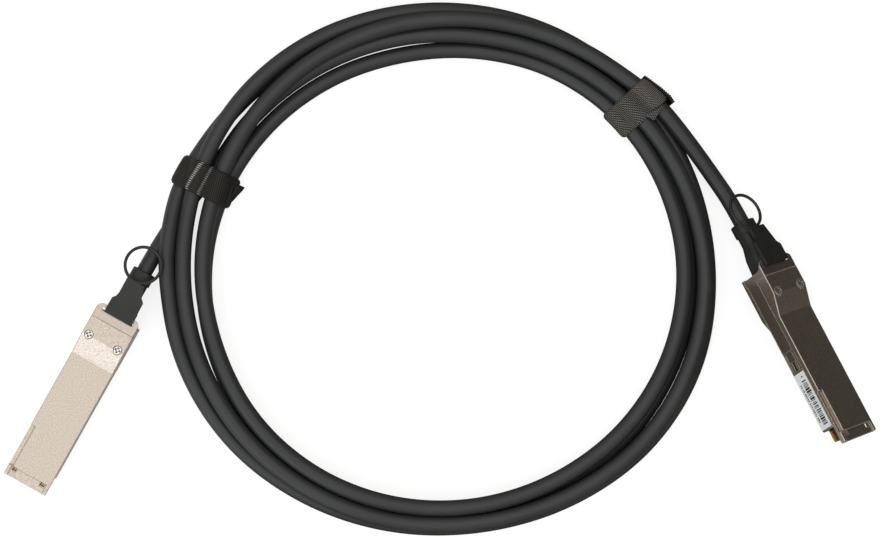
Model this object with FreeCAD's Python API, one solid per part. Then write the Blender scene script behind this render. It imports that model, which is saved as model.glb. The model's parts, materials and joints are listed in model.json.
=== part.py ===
import FreeCAD, Part
import math
import os

from FreeCAD import Matrix, Placement, Rotation, Vector

# A direct attach copper cable: one length of screened twin-axial cable with a four-lane pluggable
# connector on each end, wound into a coil and held by two hook-and-loop ties. Millimetres.
#
# A plug is modelled once in its own frame and placed twice. In that frame +Y points out of the nose,
# +Z up through the top cover, X runs across, y = 0 is the rear face of the shells and z = 0 is the
# underside of the part of the body that enters the cage.

# ---- shells
BODY_WIDTH = 18.35
BODY_HEIGHT = 8.5
NOSE_END = 71.0
TRAY_END = 63.7
PARTING_HEIGHT = 6.3
SIDE_WALL = 1.5
ROOF = 1.0
FLOOR = 0.9
REAR_WALL = 1.6
EDGE_ROUND = 0.3

OVERCUT = 5.0  # how far a cutter passes beyond the metal

# ---- raised head behind the cage
HEAD_RISE = 3.1
HEAD_FLAT = 7.6
RAMP_LENGTH = 8.8
RAMP_BLEND = 1.8
TOP_BLEND = 0.8
POST_DIAMETER = 1.4
POST_REAR = 29.2
POST_FRONT = 51.7
HEAD_DROP = 1.5
DROP_FLAT = 14.2
DROP_RAMP = 5.0
REAR_LIP = 3.3
REAR_LIP_HEIGHT = 1.6

# ---- nose
LIP_LENGTH = 4.15
LIP_STEP = 0.6
LIP_RAIL = 1.3
NOSE_THICKNESS = 1.6
NOSE_HOLE = 2.0
NOSE_HOLE_SPACING = 12.4
NOSE_HOLE_ROUND = 0.5
NOSE_HOLE_SETBACK = 3.2
LEDGE_WIDTH = 2.0
LEDGE_DEPTH = 0.9
LEDGE_LENGTH = 17.85

# ---- screws
SCREW_SPACING = 12.8
SCREW_SETBACK = 7.1
SCREW_HEAD_DIAMETER = 3.4
SCREW_HEAD_HEIGHT = 1.0
SCREW_SHANK_DIAMETER = 2.0
SCREW_THREAD_LENGTH = 3.0
SCREW_HEAD_CLEARANCE = 0.1
SCREW_HOLE_CLEARANCE = 0.1
SCREW_SINK = 1.1
CROSS_WIDTH = 0.8
CROSS_SPAN = 2.4
CROSS_DEPTH = 0.7
BOSS_DIAMETER = 4.4

# ---- latch slider, bent from sheet
SHEET = 0.5
SLIDE_GAP = 0.15
EDGE_GAP = 0.2
PLATE_LENGTH = 6.4
PLATE_CORNER = 2.6
PLATE_EDGE_ROUND = 0.4
SLOT_LENGTH = 13.8
SLOT_ROUND = 0.4
SLOT_WIDTH = 1.3
RAIL_WIDTH = 1.5
CHEEK_REAR = 2.9
CHEEK_BLEND = 2.7
ARM_LOW = 0.6
ARM_END = 29.7
TONGUE_END = 34.2
TONGUE_HEIGHT = 3.6
PRONG_END = 37.8
PRONG_HEIGHT = 0.9

# ---- return springs
SPRING_DIAMETER = 1.5
SPRING_WIRE = 0.28
SPRING_LENGTH = 7.6
SPRING_TURNS = 5
SPRING_STEPS = 10
SPRING_REAR = 3.0
SPRING_HEIGHT = 1.9
SPRING_CLEARANCE = 0.1
TAB_SHEET = 0.5
SPRING_WALL = 1.2

# ---- edge card
CARD_THICKNESS = 1.0
CARD_HEIGHT = 2.3
CARD_REAR = 23.2
CARD_FRONT = 69.0
CARD_TONGUE = 11.5
CARD_TONGUE_WIDTH = 16.4
CARD_CLEARANCE = 0.15
CARD_SHELF = 0.9
MOUTH_WALL = 0.82
FINGER_COUNT = 19
FINGER_PITCH = 0.8
FINGER_WIDTH = 0.58
FINGER_LENGTH = 4.2
FINGER_THICKNESS = 0.05
FINGER_SETBACK = 0.4
CHIP_LENGTH = 4.9
CHIP_WIDTH = 3.9
CHIP_HEIGHT = 1.1
CHIP_SETBACK = 20.0

# ---- pull tab
TAB_WIDTH = 11.9
TAB_THICKNESS = 1.5
TAB_GAP = 0.12
TAB_LOWER = 1.0
TAB_STRAIGHT = 7.0
TAB_SHOULDER = 1.6
TAB_SHOULDER_ROUND = 1.0
TAB_NECK_WIDTH = 8.5
RING_DIAMETER = 15.4
RING_CORD = 1.25
RING_SIDES = 12
RING_SETBACK = 26.8

# ---- boot and ferrule
BOOT_LENGTH = 24.5
BOOT_TAPER_START = 9.8
BOOT_TAPER_END = 15.3
BOOT_WIDTH = 11.2
BOOT_HEIGHT = 8.8
BOOT_WAIST = 8.0
BOOT_COLLAR = 9.0
BOOT_COLLAR_LENGTH = 4.8
BOOT_NECK_WIDTH = 10.0
BOOT_NECK_HEIGHT = 8.0
BOOT_NECK_ROUND = 2.0
BOOT_FLANGE = 0.9
BOOT_FLANGE_LENGTH = 2.0
BOOT_FIT = 0.1
BOOT_SHELL_GAP = 0.2
FERRULE_WALL = 0.8
FERRULE_LENGTH = 6.0

# ---- cable
CABLE_DIAMETER = 6.4
CABLE_HEIGHT = 5.0
PAIR_COUNT = 8
PAIR_DIAMETER = 1.3
PAIR_PITCH = 3.4

# ---- label on the second plug
LABEL_REAR = 38.9
LABEL_LENGTH = 24.0
LABEL_HEIGHT = 6.0
LABEL_THICKNESS = 0.1
LABEL_LOW = 0.15

# ---- coil: the turns fan out a little, so its two outlines are ovals with different centres
COIL_OUTER_X = 109.7
COIL_OUTER_Y = 104.5
COIL_INNER_X = 91.4
COIL_INNER_Y = 86.6
COIL_INNER_SHIFT_X = 2.1
COIL_INNER_SHIFT_Y = -4.2
COIL_HEIGHT = 12.4
COIL_CHAMFER = 2.4

# ---- hook-and-loop ties: direction from the coil's centre, and reach inwards and outwards
TIE_WIDTH = 12.4
TIE_THICKNESS = 1.1
TIE_ROUND = 3.0
TIES = {
    "a": {"angle": 158.5, "inner": 83.8, "outer": 110.4},
    "b": {"angle": 39.3, "inner": 88.9, "outer": 112.2},
}

# ---- how the plugs lie: where the shells' rear meets the plug's axis, heading, roll and nose lift
PLUGS = {
    "a": {"at": (-127.4, -22.7), "heading": 240.7, "roll": 0.0, "lift": 0.0,
          "tab_shift": -0.5, "tab_skew": 1.8, "ring_shift": 1.0},
    "b": {"at": (127.35, -6.0), "heading": -63.35, "roll": -40.2, "lift": 12.0,
          "tab_shift": 0.4, "tab_skew": -1.8, "ring_shift": 2.9},
}

# ---- free ends of the cable, from inside the coil towards the boot: x, y, height of the centre
TAIL_A_POINTS = [(-89.5, 36.8, 3.2), (-97.6, 27.4, 3.25), (-104.6, 17.0, 3.5)]
TAIL_B_POINTS = [(78.0, 71.6, 9.2), (88.3, 61.6, 8.8), (98.8, 48.4, 7.0), (108.3, 35.4, 4.9)]
TAIL_STRAIGHT = 9.0

# ---- values that follow from the ones above
HALF_WIDTH = BODY_WIDTH / 2
HEAD_TOP = BODY_HEIGHT + HEAD_RISE
RAMP_END = HEAD_FLAT + RAMP_LENGTH
LIP_START = NOSE_END - LIP_LENGTH
INNER_HALF = HALF_WIDTH - SIDE_WALL
ARM_INNER = HALF_WIDTH - SHEET
GROOVE_FACE = ARM_INNER - SLIDE_GAP
ARM_TOP = PARTING_HEIGHT - EDGE_GAP
PLATE_UNDERSIDE = HEAD_TOP - SHEET
CARD_TOP = CARD_HEIGHT + CARD_THICKNESS
RING_CENTRE_Y = -RING_SETBACK
TAB_BOTTOM = HEAD_TOP + TAB_GAP
TAB_TOP = TAB_BOTTOM + TAB_THICKNESS
RING_HEIGHT = TAB_TOP - RING_CORD / 2 - 0.05
SPRING_CENTRE_X = GROOVE_FACE - SPRING_CLEARANCE - SPRING_DIAMETER / 2
SPRING_FRONT = SPRING_REAR + SPRING_LENGTH


def box(x0, x1, y0, y1, z0, z1):
    return Part.makeBox(x1 - x0, y1 - y0, z1 - z0, Vector(x0, y0, z0))


def rod(radius, length, base, direction):
    return Part.makeCylinder(radius, length, base, direction)


def both_sides(shape):
    """The shape and its mirror image across the plug's middle plane."""
    return shape.fuse(shape.mirror(Vector(0, 0, 0), Vector(1, 0, 0)))


def outline(corners, lift):
    """Closed wire through flat corners (u, v, radius), each turned into space by lift(u, v)."""
    stops = []
    for i, (u, v, radius) in enumerate(corners):
        here = Vector(u, v, 0)
        before = corners[i - 1]
        after = corners[(i + 1) % len(corners)]
        back = (Vector(before[0], before[1], 0) - here).normalize()
        ahead = (Vector(after[0], after[1], 0) - here).normalize()
        if radius:
            half = back.getAngle(ahead) / 2
            reach = radius / math.tan(half)
            centre = here + (back + ahead).normalize() * (radius / math.sin(half))
            middle = centre + (here - centre).normalize() * radius
            stops.append((here + back * reach, middle, here + ahead * reach))
        else:
            stops.append((here, None, here))
    edges = []
    for i, (start, middle, end) in enumerate(stops):
        following = stops[(i + 1) % len(stops)][0]
        if middle:
            arc = Part.Arc(lift(start), lift(middle), lift(end))
            edges.append(arc.toShape())
        if end.distanceToPoint(following) > 1e-4:
            edges.append(Part.LineSegment(lift(end), lift(following)).toShape())
    return Part.Wire(edges)


def side_prism(corners, x0, x1):
    """Solid from an outline seen from the side, (y, z, radius), between two values of x."""
    wire = outline(corners, lambda p: Vector(x0, p.x, p.y))
    return Part.Face(wire).extrude(Vector(x1 - x0, 0, 0))


def plan_prism(corners, z0, z1):
    """Solid from an outline seen from above, (x, y, radius), between two heights."""
    wire = outline(corners, lambda p: Vector(p.x, p.y, z0))
    return Part.Face(wire).extrude(Vector(0, 0, z1 - z0))


def rounded_section(y, width, height, radius, middle_z):
    """Wire of a rounded rectangle across the plug's axis."""
    x = width / 2
    z = height / 2
    corners = [(-x, -z, radius), (x, -z, radius), (x, z, radius), (-x, z, radius)]
    return outline(corners, lambda p: Vector(p.x, y, middle_z + p.y))


def rounded_bar(y0, y1, width, height, radius, middle_z):
    face = Part.Face(rounded_section(y0, width, height, radius, middle_z))
    return face.extrude(Vector(0, y1 - y0, 0))


def top_line(drop):
    """The cover's top from the rear to the nose, lowered by drop."""
    return [
        (0, HEAD_TOP - drop, 0),
        (HEAD_FLAT, HEAD_TOP - drop, TOP_BLEND),
        (RAMP_END, BODY_HEIGHT - drop, RAMP_BLEND),
    ]


def screw_spots():
    return [(side * SCREW_SPACING / 2, SCREW_SETBACK) for side in (-1, 1)]


def make_top_shell():
    """Die-cast cover: raised head, ramp, flat body and the nose plate that shields the card."""
    nose_bottom = BODY_HEIGHT - LIP_STEP - NOSE_THICKNESS
    profile = top_line(0) + [
        (NOSE_END, BODY_HEIGHT, 0.5),
        (NOSE_END, nose_bottom, 0),
        (TRAY_END, nose_bottom, 0),
        (TRAY_END, PARTING_HEIGHT, 0),
        (0, PARTING_HEIGHT, 0),
    ]
    shell = side_prism(profile, -HALF_WIDTH, HALF_WIDTH)
    long_edges = [edge for edge in shell.Edges if is_top_side_edge(edge)]
    shell = shell.makeFillet(EDGE_ROUND, long_edges)

    cavity = top_line(ROOF) + [
        (TRAY_END - SIDE_WALL, BODY_HEIGHT - ROOF, 0),
        (TRAY_END - SIDE_WALL, PARTING_HEIGHT - 1, 0),
        (0, PARTING_HEIGHT - 1, 0),
    ]
    cavity = [(max(y, REAR_WALL), z, r) for y, z, r in cavity]
    shell = shell.cut(side_prism(cavity, -INNER_HALF, INNER_HALF))

    boss_top = HEAD_TOP - ROOF / 2
    for x, y in screw_spots():
        boss = rod(BOSS_DIAMETER / 2, boss_top - PARTING_HEIGHT, Vector(x, y, PARTING_HEIGHT), Vector(0, 0, 1))
        shell = shell.fuse(boss.common(box(-HALF_WIDTH, HALF_WIDTH, 0, NOSE_END, 0, HEAD_TOP)))
    for y in (POST_REAR, POST_FRONT):
        for side in (-1, 1):
            spot = Vector(side * (INNER_HALF - POST_DIAMETER), y, CARD_TOP + CARD_CLEARANCE)
            height = BODY_HEIGHT - ROOF / 2 - spot.z
            shell = shell.fuse(rod(POST_DIAMETER / 2, height, spot, Vector(0, 0, 1)))

    for x, y in screw_spots():
        seat = Vector(x, y, HEAD_TOP - SCREW_SINK)
        shell = shell.cut(rod(SCREW_HEAD_DIAMETER / 2 + SCREW_HEAD_CLEARANCE, OVERCUT, seat, Vector(0, 0, 1)))
        hole = Vector(x, y, 0)
        shell = shell.cut(rod(SCREW_SHANK_DIAMETER / 2 + SCREW_HOLE_CLEARANCE, HEAD_TOP, hole, Vector(0, 0, 1)))

    shell = shell.cut(boot_passage())
    rail = HALF_WIDTH - LIP_RAIL
    shell = shell.cut(box(-rail, rail, LIP_START, NOSE_END + 1, BODY_HEIGHT - LIP_STEP, BODY_HEIGHT + 1))
    half_hole = NOSE_HOLE / 2
    hole_y = NOSE_END - NOSE_HOLE_SETBACK
    for side in (-1, 1):
        x = side * NOSE_HOLE_SPACING / 2
        corners = [(-1, -1), (1, -1), (1, 1), (-1, 1)]
        hole = [(x + u * half_hole, hole_y + v * half_hole, NOSE_HOLE_ROUND) for u, v in corners]
        shell = shell.cut(plan_prism(hole, 0, HEAD_TOP))
    shell = shell.cut(box(HALF_WIDTH - LEDGE_WIDTH, HALF_WIDTH + 1, LIP_START - LEDGE_LENGTH, LIP_START,
                          BODY_HEIGHT - LEDGE_DEPTH, BODY_HEIGHT + 1))
    return shell.removeSplitter()


def boot_passage():
    """The way for the boot's neck through the rear wall, half in the tray and half in the cover."""
    return rounded_bar(-REAR_LIP - 1, REAR_WALL + 0.1, BOOT_NECK_WIDTH + 2 * BOOT_FIT,
                       BOOT_NECK_HEIGHT + 2 * BOOT_FIT, BOOT_NECK_ROUND, CABLE_HEIGHT)


def is_top_side_edge(edge):
    """True for the edges that run along the two sides of the cover's top."""
    bounds = edge.BoundBox
    on_side = abs(abs(bounds.Center.x) - HALF_WIDTH) < 0.01 and bounds.XLength < 0.01
    return on_side and bounds.ZMin > BODY_HEIGHT - 0.6 and bounds.YLength > 0.1


def make_bottom_shell():
    """Die-cast tray: deep walls, grooves for the slider's arms, shelves for the card."""
    bottom_line = [
        (0, -HEAD_DROP, 0),
        (DROP_FLAT, -HEAD_DROP, 0),
        (DROP_FLAT + DROP_RAMP, 0, 0),
    ]
    profile = bottom_line + [
        (TRAY_END, 0, 0.6),
        (TRAY_END, PARTING_HEIGHT, 0),
        (0, PARTING_HEIGHT, 0),
    ]
    shell = side_prism(profile, -HALF_WIDTH, HALF_WIDTH)
    lip = box(-HALF_WIDTH, HALF_WIDTH, -REAR_LIP, REAR_WALL, -HEAD_DROP, REAR_LIP_HEIGHT - HEAD_DROP)
    shell = shell.fuse(lip)
    low_edges = [edge for edge in shell.Edges if is_low_side_edge(edge)]
    shell = shell.makeFillet(EDGE_ROUND, low_edges)

    cavity = [(max(y, REAR_WALL), z + FLOOR, r) for y, z, r in bottom_line]
    cavity += [(TRAY_END + 1, FLOOR, 0), (TRAY_END + 1, PARTING_HEIGHT + 1, 0), (REAR_WALL, PARTING_HEIGHT + 1, 0)]
    shell = shell.cut(side_prism(cavity, -INNER_HALF, INNER_HALF))

    shelf = box(INNER_HALF - CARD_SHELF, INNER_HALF + 0.1, CARD_REAR - 1, TRAY_END, FLOOR - 0.1, CARD_HEIGHT)
    rear_block = box(SPRING_CENTRE_X - SPRING_DIAMETER, INNER_HALF + 0.1, REAR_WALL - 0.1,
                     SPRING_FRONT + TAB_SHEET + SPRING_WALL, FLOOR - HEAD_DROP - 0.1,
                     SPRING_HEIGHT + SPRING_DIAMETER / 2 + SPRING_WALL)
    shell = shell.fuse(both_sides(shelf)).fuse(both_sides(rear_block))
    for x, y in screw_spots():
        base = Vector(x, y, FLOOR - HEAD_DROP - 0.1)
        boss = rod(BOSS_DIAMETER / 2, PARTING_HEIGHT - base.z, base, Vector(0, 0, 1))
        shell = shell.fuse(boss.common(box(-HALF_WIDTH, HALF_WIDTH, 0, NOSE_END, -HEAD_DROP, HEAD_TOP)))

    mouth = HALF_WIDTH - MOUTH_WALL
    mouth_rear = CARD_FRONT - CARD_TONGUE - CARD_CLEARANCE
    shell = shell.cut(box(-mouth, mouth, mouth_rear, TRAY_END + 1, CARD_HEIGHT, PARTING_HEIGHT + 1))

    groove = [
        (-REAR_LIP - 1, ARM_LOW - EDGE_GAP, 0),
        (PRONG_END + EDGE_GAP, ARM_LOW - EDGE_GAP, 0),
        (PRONG_END + EDGE_GAP, PARTING_HEIGHT + 1, 0),
        (-REAR_LIP - 1, PARTING_HEIGHT + 1, 0),
    ]
    shell = shell.cut(both_sides(side_prism(groove, GROOVE_FACE, HALF_WIDTH + 1)))
    pocket_radius = SPRING_DIAMETER / 2 + SPRING_CLEARANCE
    pocket = box(SPRING_CENTRE_X - pocket_radius, GROOVE_FACE + 0.1, SPRING_REAR,
                 SPRING_FRONT + TAB_SHEET + EDGE_GAP, SPRING_HEIGHT - pocket_radius, SPRING_HEIGHT + pocket_radius)
    shell = shell.cut(both_sides(pocket))
    window = box(GROOVE_FACE - 0.4, HALF_WIDTH + 1, TONGUE_END - EDGE_GAP, PRONG_END + EDGE_GAP,
                 ARM_LOW + 1.2, ARM_TOP - 1.2)
    shell = shell.cut(both_sides(window))

    for x, y in screw_spots():
        tip = PARTING_HEIGHT - SCREW_THREAD_LENGTH
        shell = shell.cut(rod(SCREW_SHANK_DIAMETER / 2, HEAD_TOP, Vector(x, y, tip), Vector(0, 0, 1)))
    return shell.cut(boot_passage()).removeSplitter()


def is_low_side_edge(edge):
    """True for the edges that run along the two sides of the tray's underside."""
    bounds = edge.BoundBox
    on_side = abs(abs(bounds.Center.x) - HALF_WIDTH) < 0.01 and bounds.XLength < 0.01
    return on_side and bounds.ZMax < 0.01 and bounds.YLength > 0.7


def make_slider():
    """Latch slider: slotted plate behind the head, cheeks bent down, arms along both sides."""
    plate_front = -SLIDE_GAP
    cheek = [
        (-CHEEK_REAR, ARM_LOW, 0),
        (-CHEEK_REAR, PLATE_UNDERSIDE, CHEEK_BLEND),
        (-PLATE_LENGTH, PLATE_UNDERSIDE, 0),
        (-PLATE_LENGTH, HEAD_TOP, 0),
        (plate_front, HEAD_TOP, 0),
        (plate_front, ARM_TOP, 0),
        (ARM_END, ARM_TOP, 0),
        (ARM_END, ARM_LOW, 0),
    ]
    arms = both_sides(side_prism(cheek, ARM_INNER, HALF_WIDTH))
    arm_middle = (ARM_LOW + ARM_TOP) / 2
    half_tongue = TONGUE_HEIGHT / 2
    tongue = box(ARM_INNER, HALF_WIDTH - 0.15, ARM_END - 0.1, TONGUE_END, arm_middle - half_tongue,
                 arm_middle + half_tongue)
    arms = arms.fuse(both_sides(tongue))
    for level in (arm_middle - half_tongue, arm_middle + half_tongue - PRONG_HEIGHT):
        prong = box(ARM_INNER, HALF_WIDTH, TONGUE_END - 0.1, PRONG_END, level, level + PRONG_HEIGHT)
        arms = arms.fuse(both_sides(prong))

    plate = box(-HALF_WIDTH, HALF_WIDTH, -PLATE_LENGTH, plate_front, PLATE_UNDERSIDE, HEAD_TOP)
    slot_rear = -PLATE_LENGTH + RAIL_WIDTH
    half_slot = SLOT_LENGTH / 2
    slot = plan_prism([(-half_slot, slot_rear, SLOT_ROUND), (half_slot, slot_rear, SLOT_ROUND),
                       (half_slot, slot_rear + SLOT_WIDTH, SLOT_ROUND),
                       (-half_slot, slot_rear + SLOT_WIDTH, SLOT_ROUND)], PLATE_UNDERSIDE - 1, HEAD_TOP + 1)
    slider = arms.fuse(plate).cut(slot)

    tab = box(SPRING_CENTRE_X - SPRING_DIAMETER / 2, ARM_INNER + 0.1, SPRING_FRONT, SPRING_FRONT + TAB_SHEET,
              SPRING_HEIGHT - SPRING_DIAMETER / 2, SPRING_HEIGHT + SPRING_DIAMETER / 2)
    slider = slider.fuse(both_sides(tab))

    plan = plan_prism([(-HALF_WIDTH, -PLATE_LENGTH, PLATE_CORNER), (HALF_WIDTH, -PLATE_LENGTH, PLATE_CORNER),
                       (HALF_WIDTH, NOSE_END, 0), (-HALF_WIDTH, NOSE_END, 0)], -HEAD_DROP, HEAD_TOP + 1)
    edges = rounded_bar(-PLATE_LENGTH - 1, NOSE_END, BODY_WIDTH, 2 * HEAD_TOP, PLATE_EDGE_ROUND, 0)
    return slider.common(plan).common(edges).removeSplitter()


def make_screws():
    screws = []
    for x, y in screw_spots():
        seat = HEAD_TOP - SCREW_SINK
        head = rod(SCREW_HEAD_DIAMETER / 2, SCREW_HEAD_HEIGHT, Vector(x, y, seat), Vector(0, 0, 1))
        rim = [edge for edge in head.Edges if edge.BoundBox.ZMin > seat + SCREW_HEAD_HEIGHT - 0.01]
        head = head.makeFillet(0.3, rim[:1])
        tip = PARTING_HEIGHT - SCREW_THREAD_LENGTH + 0.3
        shank = rod(SCREW_SHANK_DIAMETER / 2, seat - tip, Vector(x, y, tip), Vector(0, 0, 1))
        crown = seat + SCREW_HEAD_HEIGHT
        half_span = CROSS_SPAN / 2
        half_slot = CROSS_WIDTH / 2
        cross = box(x - half_span, x + half_span, y - half_slot, y + half_slot, crown - CROSS_DEPTH, crown + 1)
        cross = cross.fuse(box(x - half_slot, x + half_slot, y - half_span, y + half_span,
                               crown - CROSS_DEPTH, crown + 1))
        screws.append(head.fuse(shank).cut(cross).removeSplitter())
    return Part.makeCompound(screws)


def make_springs():
    """Two small coil springs between the tray and the slider's tabs, each turn bent in even steps."""
    radius = (SPRING_DIAMETER - SPRING_WIRE) / 2
    rise = SPRING_LENGTH - SPRING_WIRE
    steps = SPRING_TURNS * SPRING_STEPS
    turn = 2 * math.pi / SPRING_STEPS
    line = [Vector(radius * math.cos(i * turn), radius * math.sin(i * turn), rise * i / steps)
            for i in range(steps + 1)]
    spring = mitred_tube(line, SPRING_WIRE, 4)
    springs = []
    for side in (-1, 1):
        start = Vector(side * SPRING_CENTRE_X, SPRING_REAR + SPRING_WIRE / 2, SPRING_HEIGHT)
        placed = spring.copy()
        placed.Placement = Placement(start, Rotation(Vector(1, 0, 0), -90))
        springs.append(placed)
    return Part.makeCompound(springs)


def make_card():
    """Edge card: narrow behind the mouth, full width at its contact tongue."""
    half_body = INNER_HALF - CARD_CLEARANCE
    half_tongue = CARD_TONGUE_WIDTH / 2
    shoulder = CARD_FRONT - CARD_TONGUE
    corners = [
        (-half_body, CARD_REAR, 0), (half_body, CARD_REAR, 0), (half_body, shoulder, 0),
        (half_tongue, shoulder, 0), (half_tongue, CARD_FRONT, 0.6),
        (-half_tongue, CARD_FRONT, 0.6), (-half_tongue, shoulder, 0), (-half_body, shoulder, 0),
    ]
    return plan_prism(corners, CARD_HEIGHT, CARD_TOP)


def make_fingers():
    fingers = []
    front = CARD_FRONT - FINGER_SETBACK
    for level in (CARD_TOP, CARD_HEIGHT - FINGER_THICKNESS):
        for i in range(FINGER_COUNT):
            x = (i - (FINGER_COUNT - 1) / 2) * FINGER_PITCH - FINGER_WIDTH / 2
            fingers.append(box(x, x + FINGER_WIDTH, front - FINGER_LENGTH, front, level, level + FINGER_THICKNESS))
    return Part.makeCompound(fingers)


def make_chip():
    rear = CARD_REAR + CHIP_SETBACK
    return box(-CHIP_WIDTH / 2, CHIP_WIDTH / 2, rear, rear + CHIP_LENGTH, CARD_TOP, CARD_TOP + CHIP_HEIGHT)


def make_pull_tab(tab_shift, tab_skew, ring_shift):
    """Moulded tab: a loop round the plate's rear rail, a strap that narrows, and a thin ring."""
    slot_rear = -PLATE_LENGTH + RAIL_WIDTH
    half = TAB_WIDTH / 2
    half_neck = TAB_NECK_WIDTH / 2
    bend = slot_rear - TAB_STRAIGHT
    ring_edge = RING_CENTRE_Y + RING_DIAMETER / 2
    bridge_front = slot_rear + SLOT_WIDTH - TAB_GAP
    rail_rear = -PLATE_LENGTH - TAB_GAP
    lower_bottom = PLATE_UNDERSIDE - TAB_GAP - TAB_LOWER

    def shifted(y):
        share = (y - bend) / (RING_CENTRE_Y - bend)
        return tab_shift + (ring_shift - tab_shift) * min(max(share, 0), 1)

    def edge(side):
        shoulder = bend + side * tab_skew
        return [(side * half, bridge_front, 0), (side * half, shoulder, TAB_SHOULDER_ROUND),
                (side * (half_neck + 0.2), shoulder - TAB_SHOULDER, TAB_SHOULDER_ROUND),
                (side * (half_neck - 0.5), ring_edge - 0.6, 0)]

    corners = [(x + shifted(y), y, r) for x, y, r in edge(1) + edge(-1)[::-1]]
    strap = plan_prism(corners, TAB_BOTTOM, TAB_TOP)
    middle = box(tab_shift - half, tab_shift + half, rail_rear - 2.2, rail_rear, lower_bottom, TAB_TOP - 0.2)
    lower = box(tab_shift - half, tab_shift + half, rail_rear - 1, bridge_front,
                lower_bottom, lower_bottom + TAB_LOWER)
    bridge = box(tab_shift - half, tab_shift + half, slot_rear + TAB_GAP, bridge_front, lower_bottom, TAB_TOP - 0.2)
    ring_radius = (RING_DIAMETER - RING_CORD) / 2
    section = []
    for i in range(RING_SIDES):
        angle = 2 * math.pi * i / RING_SIDES
        section.append(Vector(ring_radius + RING_CORD / 2 * math.cos(angle), 0, RING_CORD / 2 * math.sin(angle)))
    ring = Part.Face(Part.makePolygon(section + section[:1])).revolve(Vector(0, 0, 0), Vector(0, 0, 1), 360)
    ring.translate(Vector(ring_shift, RING_CENTRE_Y, RING_HEIGHT))
    return strap.fuse(middle).fuse(lower).fuse(bridge).fuse(ring).removeSplitter()


def make_boot():
    """Moulded strain relief: flange behind the shells' wall, waist, collar, bore for the cable."""
    collar_front = -BOOT_LENGTH + BOOT_COLLAR_LENGTH
    stations = [
        (-BOOT_SHELL_GAP - REAR_LIP, BOOT_WIDTH, BOOT_HEIGHT, 2.4),
        (-BOOT_TAPER_START, BOOT_WIDTH - 0.8, BOOT_HEIGHT - 0.2, 2.6),
        (-BOOT_TAPER_END, BOOT_WAIST, BOOT_WAIST - 0.2, 2.9),
        (collar_front, BOOT_WAIST, BOOT_WAIST - 0.2, 2.9),
    ]
    wires = [rounded_section(y, w, h, r, CABLE_HEIGHT) for y, w, h, r in stations]
    boot = Part.makeLoft(wires, True, True)
    collar = rounded_bar(-BOOT_LENGTH, collar_front + 0.1, BOOT_COLLAR, BOOT_COLLAR - 0.2, 3.2, CABLE_HEIGHT)
    collar = collar.makeFillet(0.4, [edge for edge in collar.Edges if edge.BoundBox.YMax < -BOOT_LENGTH + 0.01])
    neck = rounded_bar(-BOOT_SHELL_GAP - REAR_LIP - 0.1, REAR_WALL + BOOT_FIT, BOOT_NECK_WIDTH, BOOT_NECK_HEIGHT,
                       BOOT_NECK_ROUND, CABLE_HEIGHT)
    flange_start = REAR_WALL + BOOT_FIT
    flange = rounded_bar(flange_start, flange_start + BOOT_FLANGE_LENGTH, BOOT_NECK_WIDTH + 2 * BOOT_FLANGE,
                         BOOT_NECK_HEIGHT + BOOT_FLANGE, 2.2, CABLE_HEIGHT)
    boot = boot.fuse(collar).fuse(neck).fuse(flange)
    bore_start = Vector(0, -BOOT_LENGTH - OVERCUT, CABLE_HEIGHT)
    bore = rod(CABLE_DIAMETER / 2, BOOT_LENGTH + 3 * OVERCUT, bore_start, Vector(0, 1, 0))
    return boot.cut(bore).removeSplitter()


def ferrule_start():
    return REAR_WALL + BOOT_FIT + BOOT_FLANGE_LENGTH + 0.1


def make_ferrule():
    start = Vector(0, ferrule_start(), CABLE_HEIGHT)
    outer = rod(CABLE_DIAMETER / 2 + FERRULE_WALL, FERRULE_LENGTH, start, Vector(0, 1, 0))
    return outer.cut(rod(CABLE_DIAMETER / 2, FERRULE_LENGTH, start, Vector(0, 1, 0)))


def arc_tube(points, diameter, print_as=None):
    """Tube on straight runs joined by tangent arcs, each as large as its two runs allow."""
    edges = []
    radii = []
    last = points[0]
    for i in range(1, len(points) - 1):
        back = points[i - 1] - points[i]
        ahead = points[i + 1] - points[i]
        shorter = min(back.Length, ahead.Length)
        half_turn = (math.pi - back.getAngle(ahead)) / 2
        reach = 0.45 * shorter
        radius = reach / math.tan(half_turn)
        back.normalize()
        ahead.normalize()
        start = points[i] + back * reach
        end = points[i] + ahead * reach
        centre = points[i] + (back + ahead).normalize() * math.hypot(radius, reach)
        middle = centre + (points[i] - centre).normalize() * radius
        edges.append(Part.LineSegment(last, start).toShape())
        edges.append(Part.Arc(start, middle, end).toShape())
        radii.append(radius)
        last = end
    edges.append(Part.LineSegment(last, points[-1]).toShape())
    path = Part.Wire(edges)
    direction = points[1] - points[0]
    section = Part.Wire([Part.makeCircle(diameter / 2, points[0], direction)])
    tube = path.makePipeShell([section], True, False)
    if print_as:
        expected = math.pi * diameter ** 2 / 4 * path.Length
        print(print_as, "arc radii", [round(r, 1) for r in radii], "length", round(path.Length, 1),
              "volume ratio", round(tube.Volume / expected, 4))
    return tube


def mitred_tube(points, diameter, sides):
    """Light tube with a regular many-sided section, mitred where its runs meet."""
    along = (points[1] - points[0]).normalize()
    across = along.cross(Vector(1, 0, 0) if abs(along.x) < 0.9 else Vector(0, 1, 0)).normalize()
    other = along.cross(across)
    corners = []
    for i in range(sides):
        angle = 2 * math.pi * i / sides
        corners.append(points[0] + (across * math.cos(angle) + other * math.sin(angle)) * (diameter / 2))
    section = Part.makePolygon(corners + corners[:1])
    return Part.makePolygon(points).makePipeShell([section], True, False, 1)


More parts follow.
